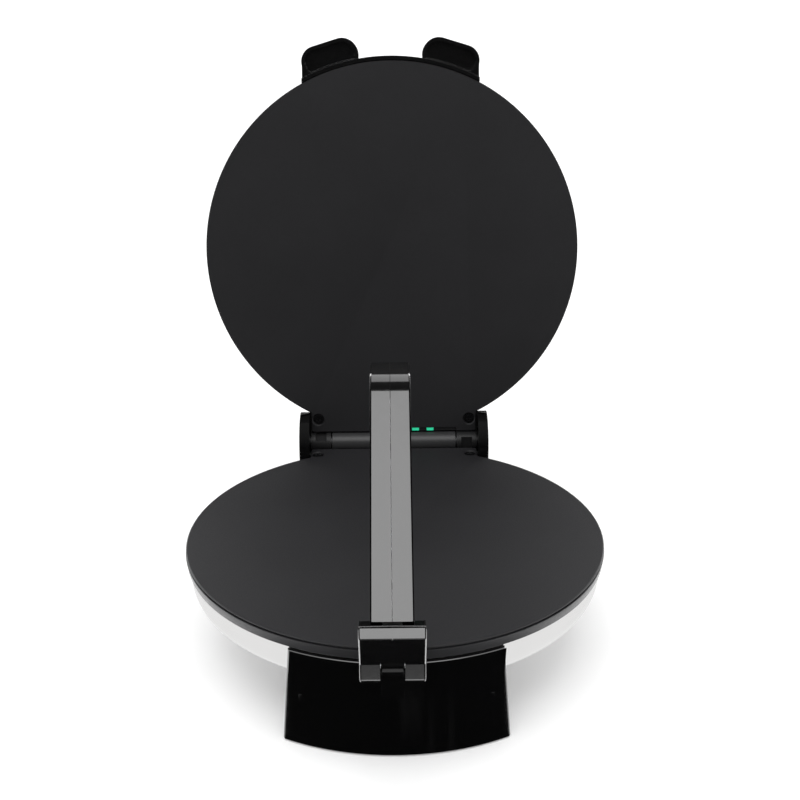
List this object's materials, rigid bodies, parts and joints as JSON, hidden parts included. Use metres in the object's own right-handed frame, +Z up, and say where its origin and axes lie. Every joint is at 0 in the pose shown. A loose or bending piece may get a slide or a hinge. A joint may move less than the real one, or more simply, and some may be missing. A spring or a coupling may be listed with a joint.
{
  "type": "electric flatbread maker",
  "caption": "Electric flatbread maker with flat round plates in steel pans, a rear hinge, lifting ears on the lid and a tall press lever at the front.",
  "frame": {"origin": "on the table, under the middle of the open maker", "axes": "+Z up, +Y towards the hinge at the back, +X to the right as seen from the front"},
  "size_m": [0.254, 0.3604, 0.3411],
  "materials": {
    "black_plastic": "high gloss",
    "black_matte_plastic": "fine texture",
    "rubber": "matte",
    "polished_steel": "polished",
    "zinc_steel": "zinc plated",
    "dark_steel": "blackened",
    "non_stick": "smooth non-stick coating on cast aluminium",
    "dark_casting": "satin",
    "dark_sleeve": "satin",
    "reflector_aluminium": "bright",
    "ceramic_white": "glazed",
    "terminal_plastic": "matte",
    "wire_sleeve": "woven glass sleeve",
    "lamp_green": "clear green"
  },
  "bodies": {
    "base": {"stand_spine": "black_plastic", "front_leg": "black_plastic", "hinge_housing": "black_plastic", "hinge_cheek_left": "black_plastic", "hinge_cheek_right": "black_plastic", "bottom_cover": "black_matte_plastic", "rubber_feet": "rubber", "bottom_screws": "zinc_steel", "cheek_screws": "zinc_steel", "frame_screws": "zinc_steel", "body_screws": "zinc_steel", "lower_housing": "polished_steel", "lower_plate": "non_stick", "lower_plate_screws": "dark_steel", "lower_element": "zinc_steel", "lower_element_clamps": "zinc_steel", "lower_reflector": "reflector_aluminium", "thermostat": "ceramic_white", "thermal_fuse": "ceramic_white", "terminal_block": "terminal_plastic", "lower_wiring": "wire_sleeve", "cord_inlet": "rubber", "hinge_shaft": "zinc_steel", "hinge_sleeve": "dark_sleeve", "lever_pin": "zinc_steel"},
    "lid": {"upper_plate": "non_stick", "upper_plate_screws": "dark_steel", "lid_shell": "polished_steel", "lid_handle": "black_plastic", "handle_screws": "zinc_steel", "hinge_bracket_left": "dark_casting", "hinge_bracket_right": "dark_casting", "hinge_cover": "black_plastic", "dome_screws": "dark_steel", "upper_element": "zinc_steel", "upper_element_clamps": "zinc_steel", "upper_reflector": "reflector_aluminium", "upper_thermostat": "ceramic_white", "lamp_board": "black_matte_plastic", "indicator_lenses": "lamp_green", "lid_wiring": "wire_sleeve"},
    "lever": {"lever_hub": "black_plastic", "lever_arm_left": "black_plastic", "lever_arm_right": "black_plastic", "lever_core": "zinc_steel", "lever_screws": "dark_steel"}
  },
  "joints": [
    {"name": "lid_hinge", "type": "hinge", "parent": "base", "child": "lid", "pos_m": [0, 0.1105, 0.069], "axis": [1, 0, 0], "range_deg": [0, 99]},
    {"name": "lever_swing", "type": "hinge", "parent": "base", "child": "lever", "pos_m": [0, -0.165, 0.0665], "axis": [-1, 0, 0], "range_deg": [-105, 32]}
  ]
}
